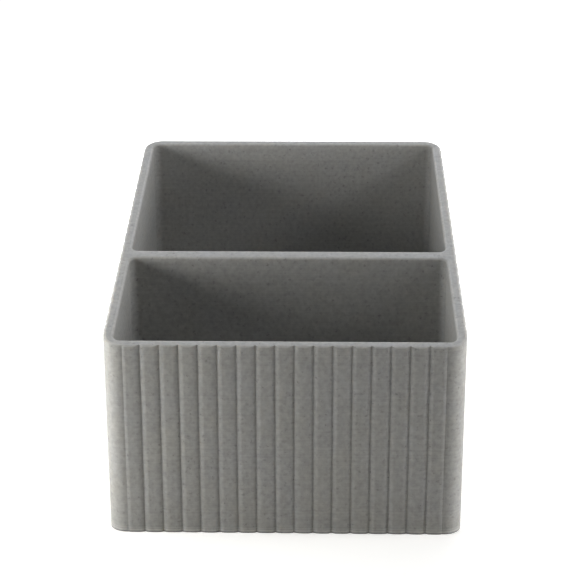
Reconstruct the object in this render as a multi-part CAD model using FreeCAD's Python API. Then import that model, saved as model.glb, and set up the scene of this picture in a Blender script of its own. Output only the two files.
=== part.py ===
# Remote control holder: one piece, an open box with two bays and a sloping rim.
# Millimetres, +Z up. The origin is the middle of the underside, and the low front faces -Y.
import FreeCAD, Part
import math
import os

# The outside is covered in upright ribs of one pitch. Each rib has an almost flat crown and wide
# round edges that curve down into a sharp groove. The crown has this slope where the edge begins.
rib_pitch = 7.0
front_ribs = 17
side_ribs = 20
crown_slope = 3.0
rib_edge_width = 2.0
groove_depth = 0.7

# The box itself. The corners between the ribbed faces are plain and round, and stand a little
# behind the rib crowns.
corner_radius = 6.8
corner_recess = 0.3
front_height = 74.5
rim_slope = 16.0
wall = 4.0
floor_thickness = 3.0
rim_rounding = 1.2

# The bays, one in front of the other, with a cross wall between them.
front_bay_depth = 53.8
divider = 5.4
bay_corner_radius = 3.0

# The smooth envelope stands this far outside the rib crowns, so that the two never coincide. Its
# corners have a larger radius, and so they pass just outside the round corners.
envelope_gap = 0.01
envelope_radius = 7.6
# Cutters reach this far past what they cut.
overrun = 5.0

width = front_ribs * rib_pitch + 2 * (corner_radius + corner_recess)
depth = side_ribs * rib_pitch + 2 * (corner_radius + corner_recess)
front_face = -depth / 2
back_face = depth / 2
origin = FreeCAD.Vector(0, 0, 0)
upward = FreeCAD.Vector(0, 0, 1)


def rim_height(y):
    """Height of the sloping rim plane at a distance y along the box."""
    return front_height + (y - front_face) * math.tan(math.radians(rim_slope))


back_height = rim_height(back_face)


def direction(angle):
    """Unit vector over the front face: straight out at 0, and to the right at 90 degrees."""
    return FreeCAD.Vector(math.sin(angle), -math.cos(angle), 0)


def arc_from(start, normal, end):
    """Arc to end from start, where its outward normal is given."""
    chord = start - end
    radius = chord.dot(chord) / (2 * normal.dot(chord))
    centre = start - normal * radius
    towards_middle = (start + end) / 2 - centre
    middle = centre + towards_middle / towards_middle.Length * radius
    return Part.Arc(start, middle, end).toShape()


def rib_edges(left_x, distance):
    """Outline of one rib from its left groove to its right one: an edge, the crown and an edge."""
    slope = math.radians(crown_slope)
    half_crown = rib_pitch / 2 - rib_edge_width
    crown_radius = half_crown / math.sin(slope)
    crest = FreeCAD.Vector(left_x + rib_pitch / 2, -distance, 0)
    centre = crest - direction(0) * crown_radius
    crown_left = centre + direction(-slope) * crown_radius
    crown_right = centre + direction(slope) * crown_radius
    groove_y = -distance + groove_depth
    left_groove = FreeCAD.Vector(left_x, groove_y, 0)
    right_groove = FreeCAD.Vector(left_x + rib_pitch, groove_y, 0)
    return [
        arc_from(crown_left, direction(-slope), left_groove),
        Part.Arc(crown_left, crest, crown_right).toShape(),
        arc_from(crown_right, direction(slope), right_groove),
    ]


def side_edges(ribs, distance, turn):
    """Outline of all the ribs of one face, turned about Z."""
    edges = []
    for index in range(ribs):
        edges.extend(rib_edges((index - ribs / 2) * rib_pitch, distance))
    for edge in edges:
        edge.rotate(origin, upward, turn)
    return edges


def corner_chord(x, y):
    """Straight edge inside the corner round (x, y), between the end grooves of its two faces."""
    start = FreeCAD.Vector(x, math.copysign(depth / 2 - groove_depth, y), 0)
    end = FreeCAD.Vector(math.copysign(width / 2 - groove_depth, x), y, 0)
    return Part.makeLine(start, end)


def ribbed_prism():
    """The ribbed outline of all four faces with its round corners, up past the top of the rim."""
    height = back_height + overrun
    edges = side_edges(front_ribs, depth / 2, 0) + side_edges(side_ribs, width / 2, 90)
    edges += side_edges(front_ribs, depth / 2, 180) + side_edges(side_ribs, width / 2, 270)
    end_x = front_ribs * rib_pitch / 2
    end_y = side_ribs * rib_pitch / 2
    corners = [(x, y) for x in (-end_x, end_x) for y in (-end_y, end_y)]
    edges += [corner_chord(x, y) for x, y in corners]
    outline = Part.Wire(Part.__sortEdges__(edges))
    prism = Part.Face(outline).extrude(upward * height)
    posts = [Part.makeCylinder(corner_radius, height, FreeCAD.Vector(x, y, 0)) for x, y in corners]
    return prism.fuse(posts).removeSplitter()


def is_upright(edge):
    start, end = edge.Vertexes[0].Point, edge.Vertexes[-1].Point
    return math.hypot(end.x - start.x, end.y - start.y) < 1e-6


def rounded_block(x_size, y_min, y_max, z_min, z_max, radius):
    """Block centred on X whose four upright edges are round."""
    corner = FreeCAD.Vector(-x_size / 2, y_min, z_min)
    block = Part.makeBox(x_size, y_max - y_min, z_max - z_min, corner)
    return block.makeFillet(radius, [edge for edge in block.Edges if is_upright(edge)])


def smooth_block():
    """The outside without its ribs."""
    x_size = width + 2 * envelope_gap
    y_min = front_face - envelope_gap
    y_max = back_face + envelope_gap
    return rounded_block(x_size, y_min, y_max, 0, back_height + overrun, envelope_radius)


def above_rim():
    """Everything above the rim plane, as a wedge across the whole width."""
    near = front_face - overrun
    far = back_face + overrun
    top = back_height + 2 * overrun
    corners = [(near, rim_height(near)), (far, rim_height(far)), (far, top), (near, top)]
    points = [FreeCAD.Vector(-width / 2 - overrun, y, z) for y, z in corners]
    face = Part.Face(Part.makePolygon(points + points[:1]))
    return face.extrude(FreeCAD.Vector(width + 2 * overrun, 0, 0))


def bays():
    """The two hollows: the front bay, and the back bay behind the cross wall."""
    divider_front = front_face + wall + front_bay_depth
    divider_back = divider_front + divider
    ends = [(front_face + wall, divider_front), (divider_back, back_face - wall)]
    top = back_height + overrun
    return [rounded_block(width - 2 * wall, near, far, floor_thickness, top, bay_corner_radius)
            for near, far in ends]


def is_rim_face(face):
    normal = face.normalAt(0, 0)
    slope = math.radians(rim_slope)
    return abs(normal.z - math.cos(slope)) < 1e-6 and abs(normal.y + math.sin(slope)) < 1e-6


def round_rim(body):
    """Rounds every edge of the rim face, outside and round both bays."""
    flat_faces = [face for face in body.Faces if isinstance(face.Surface, Part.Plane)]
    rim = [face for face in flat_faces if is_rim_face(face)]
    return body.makeFillet(rim_rounding, rim[0].Edges)


def holder_body():
    """The hollowed block with its rim rounded, and then the ribs that run through the rounding."""
    body = smooth_block().cut([above_rim()] + bays())
    return round_rim(body).common(ribbed_prism())


os.makedirs("parts", exist_ok=True)
body = holder_body()
print("solids", len(body.Solids), "faces", len(body.Faces), "valid", body.isValid())
print("size", body.BoundBox.XLength, body.BoundBox.YLength, body.BoundBox.ZLength)
body.Solids[0].exportStep("parts/holder_body.step")
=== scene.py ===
# Remote control holder in grey stone-like plastic, built up in thin layers, on a white studio floor.
import math

import bpy
import numpy as np
from mathutils import Matrix, Vector

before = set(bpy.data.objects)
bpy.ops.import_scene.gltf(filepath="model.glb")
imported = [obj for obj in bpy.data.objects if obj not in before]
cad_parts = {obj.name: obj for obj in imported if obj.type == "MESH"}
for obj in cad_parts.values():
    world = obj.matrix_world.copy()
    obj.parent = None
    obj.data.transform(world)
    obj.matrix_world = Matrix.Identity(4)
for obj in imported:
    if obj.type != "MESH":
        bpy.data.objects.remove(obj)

scene = bpy.context.scene
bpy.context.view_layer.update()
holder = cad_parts["holder_body"]
print("frame loaded:", sorted(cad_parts))

# Camera
cameraSettings = {
    "place": (0.013225, -0.561549, 0.247746),  # m
    "turn": 1.3968,     # degrees to the left of straight back
    "down": 17.3327,    # degrees below level
    "roll": -0.1173,    # degrees
    "lens": 89.305,     # mm, with a square picture
    "sensor": 36.0,     # mm
    "nearest": 0.01,    # m
    "farthest": 50.0,   # m
}


def makeCamera(s):
    data = bpy.data.cameras.new("photoCamera")
    data.sensor_fit = "HORIZONTAL"
    data.sensor_width = s["sensor"]
    data.lens = s["lens"]
    data.clip_start = s["nearest"]
    data.clip_end = s["farthest"]
    camera = bpy.data.objects.new("photoCamera", data)
    scene.collection.objects.link(camera)
    turn = Matrix.Rotation(math.radians(s["turn"]), 4, "Z")
    tilt = Matrix.Rotation(math.radians(90.0 - s["down"]), 4, "X")
    roll = Matrix.Rotation(math.radians(s["roll"]), 4, "Z")
    camera.matrix_world = Matrix.Translation(s["place"]) @ turn @ tilt @ roll
    scene.camera = camera


makeCamera(cameraSettings)
print("camera set")


# Node helpers. A tree's nodes are made by kind, with their inputs given by name or by number. An
# input is a number, a colour or place, or another node's output.
def emptyTree(owner):
    owner.use_nodes = True
    owner.node_tree.nodes.clear()
    return owner.node_tree


def addNode(tree, kind, settings=None, inputs=None):
    node = tree.nodes.new(kind)
    for name, value in (settings or {}).items():
        setattr(node, name, value)
    for key, value in (inputs or {}).items():
        feed(tree, node.inputs[key], value)
    return node


def feed(tree, socket, value):
    if isinstance(value, bpy.types.NodeSocket):
        tree.links.new(value, socket)
    else:
        socket.default_value = value


def calc(tree, operation, *values):
    inputs = dict(enumerate(values))
    return addNode(tree, "ShaderNodeMath", {"operation": operation}, inputs).outputs[0]


def vectorCalc(tree, operation, *vectors, scale=None):
    inputs = dict(enumerate(vectors))
    if scale is not None:
        inputs["Scale"] = scale
    return addNode(tree, "ShaderNodeVectorMath", {"operation": operation}, inputs).outputs[0]


def remap(tree, value, fromLow, fromHigh, toLow=0.0, toHigh=1.0, smooth=False):
    kind = "SMOOTHSTEP" if smooth else "LINEAR"
    return addNode(tree, "ShaderNodeMapRange", {"interpolation_type": kind},
                   {0: value, 1: fromLow, 2: fromHigh, 3: toLow, 4: toHigh}).outputs[0]


def axes(tree, vector):
    return addNode(tree, "ShaderNodeSeparateXYZ", None, {0: vector}).outputs


# A chance between -0.5 and 0.5 for each whole number.
def chanceOf(tree, number):
    noise = addNode(tree, "ShaderNodeTexWhiteNoise", {"noise_dimensions": "1D"}, {"W": number})
    return calc(tree, "SUBTRACT", noise.outputs["Value"], 0.5)


# The rounded section of beads side by side: half a sine wave over each whole step of the count.
def beadsAlong(tree, count):
    return calc(tree, "SINE", calc(tree, "MULTIPLY", calc(tree, "FRACT", count), math.pi))


# 1 for the rays that should see plain white: the camera's own, and those in reflections and glass.
def seenDirectly(tree):
    rays = addNode(tree, "ShaderNodeLightPath").outputs
    direct = calc(tree, "MAXIMUM", rays["Is Camera Ray"], rays["Is Glossy Ray"])
    return calc(tree, "MAXIMUM", direct, rays["Is Transmission Ray"])


# A group's inputs and outputs are given as the name and kind of each socket, Vector or Float.
def newGroup(name, inputs, outputs):
    group = bpy.data.node_groups.new(name, "ShaderNodeTree")
    for direction, sockets in (("INPUT", inputs), ("OUTPUT", outputs)):
        for socketName, kind in sockets.items():
            group.interface.new_socket(name=socketName, in_out=direction,
                                       socket_type="NodeSocket" + kind)
    return group, group.nodes.new("NodeGroupInput").outputs, group.nodes.new("NodeGroupOutput")


def putOut(group, out, values):
    for name, value in values.items():
        group.links.new(value, out.inputs[name])
    return group


def useGroup(tree, group, inputs):
    return addNode(tree, "ShaderNodeGroup", {"node_tree": group}, inputs).outputs


# Small uneven grains scattered through the plastic. Each Voronoi cell holds one grain or none.
def makeSpeckGroup():
    ragWaves = 2.3    # waves of the noise that makes outlines uneven, to one cell
    smallest = 0.45   # radius of the smallest grain, as a share of the largest
    core = 0.35       # share of a grain's radius that is evenly strong, inside the soft edge
    faintest = 0.4    # strength of the faintest grain
    group, given, out = newGroup(
        "scatteredSpecks",
        {"Place": "Vector", "Cell": "Float", "Share": "Float", "Radius": "Float",
         "Raggedness": "Float"},
        {"Mask": "Float"})
    perCell = calc(group, "DIVIDE", 1.0, given["Cell"])
    place = vectorCalc(group, "SCALE", given["Place"], scale=perCell)
    ragged = addNode(group, "ShaderNodeTexNoise", None,
                     {"Vector": place, "Scale": ragWaves, "Detail": 1.0, "Roughness": 0.5})
    bend = vectorCalc(group, "SUBTRACT", ragged.outputs["Color"], (0.5, 0.5, 0.5))
    bend = vectorCalc(group, "SCALE", bend, scale=given["Raggedness"])
    place = vectorCalc(group, "ADD", place, bend)
    cells = addNode(group, "ShaderNodeTexVoronoi", {"feature": "F1"},
                    {"Vector": place, "Scale": 1.0, "Randomness": 1.0}).outputs
    picks = addNode(group, "ShaderNodeSeparateColor", None, {0: cells["Color"]}).outputs
    chosen = calc(group, "LESS_THAN", picks[0], given["Share"])
    radius = calc(group, "MULTIPLY", given["Radius"],
                  remap(group, picks[1], 0.0, 1.0, smallest, 1.0))
    inner = calc(group, "MULTIPLY", radius, core)
    grain = remap(group, cells["Distance"], inner, radius, 1.0, 0.0, smooth=True)
    strength = remap(group, picks[2], 0.0, 1.0, faintest, 1.0)
    mask = calc(group, "MULTIPLY", calc(group, "MULTIPLY", grain, chosen), strength)
    return putOut(group, out, {"Mask": mask})


# Cloudy unevenness of one size, between about -1 and 1.
def makeCloudGroup():
    detail = 2.0
    roughness = 0.55
    low, high = 0.25, 0.75   # the noise's usual range
    group, given, out = newGroup("cloudyTone", {"Place": "Vector", "Size": "Float"},
                                 {"Tone": "Float"})
    perSize = calc(group, "DIVIDE", 1.0, given["Size"])
    place = vectorCalc(group, "SCALE", given["Place"], scale=perSize)
    noise = addNode(group, "ShaderNodeTexNoise", None,
                    {"Vector": place, "Scale": 1.0, "Detail": detail, "Roughness": roughness})
    return putOut(group, out, {"Tone": remap(group, noise.outputs["Fac"], low, high, -1.0, 1.0)})


# The layers that the piece was built up in. Each layer's edge is a small round bead, and layers
# differ a little in tone and in how far they stand out. Tone and Height are both around zero.
def makeLayerGroup():
    wanderWaves = 60.0   # waves of a layer's slight rise and fall, to a metre
    driftStep = 0.31     # waves of the slow drift of tone, to one layer
    driftShare = 1.5     # the slow drift's part in the tone
    apartShare = 0.6     # how unevenly the layers stand out, against a bead's height
    beadMean = 0.64
    group, given, out = newGroup(
        "builtUpLayers", {"Place": "Vector", "Layer": "Float", "Waviness": "Float"},
        {"Tone": "Float", "Height": "Float"})
    wander = addNode(group, "ShaderNodeTexNoise", None,
                     {"Vector": given["Place"], "Scale": wanderWaves, "Detail": 1.0})
    shift = calc(group, "SUBTRACT", wander.outputs["Fac"], 0.5)
    shift = calc(group, "MULTIPLY", shift, given["Waviness"])
    perLayer = calc(group, "DIVIDE", 1.0, given["Layer"])
    level = calc(group, "MULTIPLY", axes(group, given["Place"])["Z"], perLayer)
    count = calc(group, "ADD", level, shift)
    number = calc(group, "FLOOR", count)
    apart = chanceOf(group, number)
    slow = addNode(group, "ShaderNodeTexNoise", {"noise_dimensions": "1D"},
                   {"W": calc(group, "MULTIPLY", number, driftStep), "Scale": 1.0, "Detail": 2.0})
    drift = calc(group, "SUBTRACT", slow.outputs["Fac"], 0.5)
    tone = calc(group, "ADD", apart, calc(group, "MULTIPLY", drift, driftShare))
    bead = calc(group, "SUBTRACT", beadsAlong(group, count), beadMean)
    height = calc(group, "ADD", bead, calc(group, "MULTIPLY", apart, apartShare))
    return putOut(group, out, {"Tone": tone, "Height": height})


# Along the foot: two pale lines, partly the lowest layers pressed wide on the first one and partly
# painted light bounced up from the floor, and a dark line at the foot that is a painted contact
# shadow.
def makeFootLightAndShadowGroup():
    group, given, out = newGroup(
        "footLinesLightAndShadow",
        {"Place": "Vector", "Pale": "Float", "SecondPale": "Float", "SecondShare": "Float",
         "ContactShadow": "Float", "ContactShadowShare": "Float", "Width": "Float"},
        {"Tone": "Float"})
    level = axes(group, given["Place"])["Z"]
    lines = []
    for height in ("Pale", "SecondPale", "ContactShadow"):
        away = calc(group, "ABSOLUTE", calc(group, "SUBTRACT", level, given[height]))
        lines.append(remap(group, away, 0.0, given["Width"], 1.0, 0.0, smooth=True))
    second = calc(group, "MULTIPLY", lines[1], given["SecondShare"])
    contactShadow = calc(group, "MULTIPLY", lines[2], given["ContactShadowShare"])
    tone = calc(group, "SUBTRACT", calc(group, "ADD", lines[0], second), contactShadow)
    return putOut(group, out, {"Tone": tone})


# The passes that fill a level surface, as slanting beads side by side. Tone and Height are zero
# on other surfaces.
def makePassGroup():
    tilted, level = 0.985, 0.999   # upward part of the normal, from no passes to full passes
    group, given, out = newGroup(
        "fillPasses", {"Place": "Vector", "Normal": "Vector", "Width": "Float"},
        {"Tone": "Float", "Height": "Float"})
    upward = calc(group, "ABSOLUTE", axes(group, given["Normal"])["Z"])
    share = remap(group, upward, tilted, level, smooth=True)
    place = axes(group, given["Place"])
    across = calc(group, "MULTIPLY", calc(group, "ADD", place["X"], place["Y"]), math.sqrt(0.5))
    count = calc(group, "DIVIDE", across, given["Width"])
    apart = chanceOf(group, calc(group, "FLOOR", count))
    height = calc(group, "ADD", beadsAlong(group, count), apart)
    return putOut(group, out, {"Tone": calc(group, "MULTIPLY", apart, share),
                               "Height": calc(group, "MULTIPLY", height, share)})


# Painted highlight on the roundings of the rim: the colour is made paler where the normal turns
# part way up, standing in for light that the roundings catch. The inputs are upward parts of the
# normal. The mask is 1 from Steepest to Flattest, and fades to 0 at Upright and Sloping.
def makeRimHighlightGroup():
    group, given, out = newGroup(
        "rimRoundingHighlight",
        {"Normal": "Vector", "Upright": "Float", "Steepest": "Float", "Flattest": "Float",
         "Sloping": "Float"},
        {"Mask": "Float"})
    upward = axes(group, given["Normal"])["Z"]
    turned = remap(group, upward, given["Upright"], given["Steepest"], smooth=True)
    turning = remap(group, upward, given["Flattest"], given["Sloping"], 1.0, 0.0, smooth=True)
    return putOut(group, out, {"Mask": calc(group, "MULTIPLY", turned, turning)})


# Holder
plasticLook = {
    "colour": (0.372, 0.367, 0.350),
    "roughness": 0.62,
    "specularLevel": 0.38,
    "glow": 0.6,             # share of the light that spreads a little way under the surface
    "glowReach": (0.0045, 0.0040, 0.0034),  # m, for red, green and blue
    "darkSpecks": {"Cell": 0.0021, "Share": 0.55, "Radius": 0.38, "Raggedness": 0.9},
    "darkSpeckStrength": 0.29,
    "fineSpecks": {"Cell": 0.0016, "Share": 0.45, "Radius": 0.5, "Raggedness": 0.9},
    "fineSpeckStrength": 0.2,
    "paleSpecks": {"Cell": 0.0016, "Share": 0.3, "Radius": 0.45, "Raggedness": 0.9},
    "paleSpeckStrength": 0.07,
    "mottleSize": 0.0017,    # m
    "mottleStrength": 0.14,
    "cloudSize": 0.006,      # m
    "cloudStrength": 0.03,
    "warmSize": 0.014,       # m
    "warmShift": (0.007, 0.003, -0.018),  # at the warmest patches, the other way at the coolest
    "layers": {"Layer": 0.0002, "Waviness": 0.1},  # height of a layer in m, and layers it strays
    "layerTone": 0.07,
    "layerBump": 0.000012,   # m
    # pale lines: partly first layers, partly painted floor light; the dark line is a painted contact
    # shadow
    "footLinesLightAndShadow": {"Pale": 0.0010, "SecondPale": 0.0019, "ContactShadow": 0.0001,  # m above the floor
                  "SecondShare": 0.4, "ContactShadowShare": 0.5, "Width": 0.0005},
    "footLightAndShadowStrength": 0.40,
    # painted highlight on the rim roundings, picked by how far the normal turns up
    "paintedRoundingHighlight": {"Upright": 0.02, "Steepest": 0.35, "Flattest": 0.88, "Sloping": 0.955},
    "roundingHighlightStrength": 0.15,
    "passWidth": 0.00045,    # m
    "passTone": 0.04,
    "passBump": 0.000015,    # m
    "grainWaves": 3000.0,    # to a metre
    "grainBump": 0.000010,   # m
}


# The colour is one base colour times a tone around 1, to which each effect adds its share.
def makePlastic(s, groups):
    material = bpy.data.materials.new("stonePlastic")
    tree = emptyTree(material)
    coordinates = addNode(tree, "ShaderNodeTexCoord").outputs
    place, normal = coordinates["Object"], coordinates["Normal"]

    def specks(kind):
        return useGroup(tree, groups["specks"], {"Place": place, **kind})["Mask"]

    def cloud(size):
        return useGroup(tree, groups["cloud"], {"Place": place, "Size": size})["Tone"]

    layers = useGroup(tree, groups["layers"], {"Place": place, **s["layers"]})
    foot = useGroup(tree, groups["foot"], {"Place": place, **s["footLinesLightAndShadow"]})
    paintedRoundingHighlight = useGroup(tree, groups["paintedRoundingHighlight"], {"Normal": normal, **s["paintedRoundingHighlight"]})
    passes = useGroup(tree, groups["passes"],
                      {"Place": place, "Normal": normal, "Width": s["passWidth"]})
    tone = 1.0
    for effect, strength in (
            (cloud(s["cloudSize"]), s["cloudStrength"]),
            (cloud(s["mottleSize"]), s["mottleStrength"]),
            (layers["Tone"], s["layerTone"]),
            (passes["Tone"], s["passTone"]),
            # foot lines: partly first layers, partly painted floor light, and a painted contact
            # shadow
            (foot["Tone"], s["footLightAndShadowStrength"]),
            # painted highlight on the rim roundings
            (paintedRoundingHighlight["Mask"], s["roundingHighlightStrength"]),
            (specks(s["darkSpecks"]), -s["darkSpeckStrength"]),
            (specks(s["fineSpecks"]), -s["fineSpeckStrength"]),
            (specks(s["paleSpecks"]), s["paleSpeckStrength"])):
        tone = calc(tree, "ADD", tone, calc(tree, "MULTIPLY", effect, strength))
    warmth = vectorCalc(tree, "SCALE", s["warmShift"], scale=cloud(s["warmSize"]))
    tint = vectorCalc(tree, "ADD", warmth, (1.0, 1.0, 1.0))
    colour = vectorCalc(tree, "SCALE", vectorCalc(tree, "MULTIPLY", tint, s["colour"]), scale=tone)

    grain = addNode(tree, "ShaderNodeTexNoise", None,
                    {"Vector": place, "Scale": s["grainWaves"], "Detail": 2.0}).outputs["Fac"]
    height = calc(tree, "MULTIPLY", layers["Height"], s["layerBump"])
    for relief, depth in ((passes["Height"], s["passBump"]), (grain, s["grainBump"])):
        height = calc(tree, "ADD", height, calc(tree, "MULTIPLY", relief, depth))
    bump = addNode(tree, "ShaderNodeBump", None,
                   {"Height": height, "Distance": 1.0, "Strength": 1.0})

    principled = addNode(tree, "ShaderNodeBsdfPrincipled", None, {
        "Base Color": colour,
        "Roughness": s["roughness"],
        "Specular IOR Level": s["specularLevel"],
        "Subsurface Weight": s["glow"],
        "Subsurface Radius": s["glowReach"],
        "Subsurface Scale": 1.0,
        "Normal": bump.outputs["Normal"],
    })
    output = addNode(tree, "ShaderNodeOutputMaterial")
    tree.links.new(principled.outputs[0], output.inputs["Surface"])
    return material


groups = {"specks": makeSpeckGroup(), "cloud": makeCloudGroup(), "layers": makeLayerGroup(),
          "foot": makeFootLightAndShadowGroup(), "passes": makePassGroup(), "paintedRoundingHighlight": makeRimHighlightGroup()}
holder.data.materials.clear()
holder.data.materials.append(makePlastic(plasticLook, groups))
print("holder finished")

# Floor: a round sheet of paper. It shows white to the camera and in reflections, and keeps soft
# shadows near the object.
floorSettings = {
    "radius": 6.0,      # m
    "rings": 24,
    "spokes": 96,
    "colour": (0.90, 0.88, 0.84),
    "roughness": 0.9,
    "whitening": 0.42,  # light that only the camera and reflections see, near the object
    "pureFrom": 0.15,   # m from the middle, where it starts to rise to pure white
    "pureAt": 0.5,      # m
}


def makePaper(s):
    material = bpy.data.materials.new("whitePaper")
    tree = emptyTree(material)
    place = addNode(tree, "ShaderNodeTexCoord").outputs["Object"]
    away = addNode(tree, "ShaderNodeVectorMath", {"operation": "LENGTH"}, {0: place})
    white = remap(tree, away.outputs["Value"], s["pureFrom"], s["pureAt"], s["whitening"], 1.0,
                  smooth=True)
    principled = addNode(tree, "ShaderNodeBsdfPrincipled", None, {
        "Base Color": (*s["colour"], 1.0),
        "Roughness": s["roughness"],
        "Specular IOR Level": 0.0,
        "Emission Color": (1.0, 1.0, 1.0, 1.0),
        "Emission Strength": calc(tree, "MULTIPLY", seenDirectly(tree), white),
    })
    output = addNode(tree, "ShaderNodeOutputMaterial")
    tree.links.new(principled.outputs[0], output.inputs["Surface"])
    return material


def makeFloor(s):
    # A point is the radius times the square of the ring's share, turned by the spoke's angle, at
    # height zero. So the rings are close together in the middle.
    share = np.linspace(0.0, 1.0, s["rings"] + 1)[1:, None] ** 2
    angle = np.linspace(0.0, 2.0 * math.pi, s["spokes"], endpoint=False)[None, :]
    x = (s["radius"] * share * np.cos(angle)).ravel()
    y = (s["radius"] * share * np.sin(angle)).ravel()
    points = np.vstack([[0.0, 0.0, 0.0], np.column_stack([x, y, np.zeros_like(x)])])
    spoke = np.arange(s["spokes"])
    nextSpoke = (spoke + 1) % s["spokes"]
    middle = np.column_stack([np.zeros_like(spoke), 1 + spoke, 1 + nextSpoke])
    ring = (1 + np.arange(s["rings"] - 1) * s["spokes"])[:, None]
    nextRing = ring + s["spokes"]
    quads = np.stack([ring + spoke, nextRing + spoke, nextRing + nextSpoke, ring + nextSpoke],
                     axis=-1).reshape(-1, 4)
    mesh = bpy.data.meshes.new("studioFloor")
    mesh.from_pydata(points.tolist(), [], middle.tolist() + quads.tolist())
    mesh.materials.append(makePaper(s))
    floor = bpy.data.objects.new("studioFloor", mesh)
    scene.collection.objects.link(floor)


makeFloor(floorSettings)
print("floor laid")

# Lamps: soft boxes round the object, each aimed at its middle. Power is in watts, and size and
# place are in metres.
lampAim = (0.0, 0.0, 0.05)
lamps = {
    "leftBox": {"place": (-0.26, -0.11, 0.10), "size": 0.1, "power": 0.59, "tint": (1.0, 1.0, 0.98)},
    "rightBox": {"place": (0.6, -0.077, 0.1), "size": 0.2, "power": 1.9, "tint": (1.0, 1.0, 0.99)},
    "rightHighBox": {"place": (0.35, -0.09, 0.25), "size": 0.1, "power": 0.34,
                     "tint": (0.97, 0.98, 1.0)},
    "topBox": {"place": (0.0, 0.2, 1.3), "size": 1.0, "power": 7.3, "tint": (0.89, 0.93, 1.0)},
    "topBackBox": {"place": (0.0, 0.9, 1.0), "size": 0.8, "power": 4.2, "tint": (0.89, 0.93, 1.0)},
    "backBox": {"place": (0.0, 1.3, 0.25), "size": 1.2, "power": 10.5, "tint": (0.94, 0.96, 1.0)},
}
surround = {
    "colour": (1.0, 1.0, 1.0),
    "ambient": 0.01,    # strength of its light on the object, against 1 where it is seen
}


def makeLamp(name, s):
    data = bpy.data.lights.new(name, "AREA")
    data.shape = "SQUARE"
    data.size = s["size"]
    data.energy = s["power"]
    data.color = s["tint"]
    lamp = bpy.data.objects.new(name, data)
    scene.collection.objects.link(lamp)
    aim = (Vector(lampAim) - Vector(s["place"])).to_track_quat("-Z", "Y").to_matrix().to_4x4()
    lamp.matrix_world = Matrix.Translation(s["place"]) @ aim


def makeSurround(s):
    scene.world = bpy.data.worlds.new("whiteSurround")
    tree = emptyTree(scene.world)
    strength = remap(tree, seenDirectly(tree), 0.0, 1.0, s["ambient"], 1.0)
    background = addNode(tree, "ShaderNodeBackground", None,
                         {"Color": (*s["colour"], 1.0), "Strength": strength})
    output = addNode(tree, "ShaderNodeOutputWorld")
    tree.links.new(background.outputs[0], output.inputs["Surface"])


for lampName, lampSettings in lamps.items():
    makeLamp(lampName, lampSettings)
makeSurround(surround)
scene.view_settings.view_transform = "Standard"
print("lamps set")
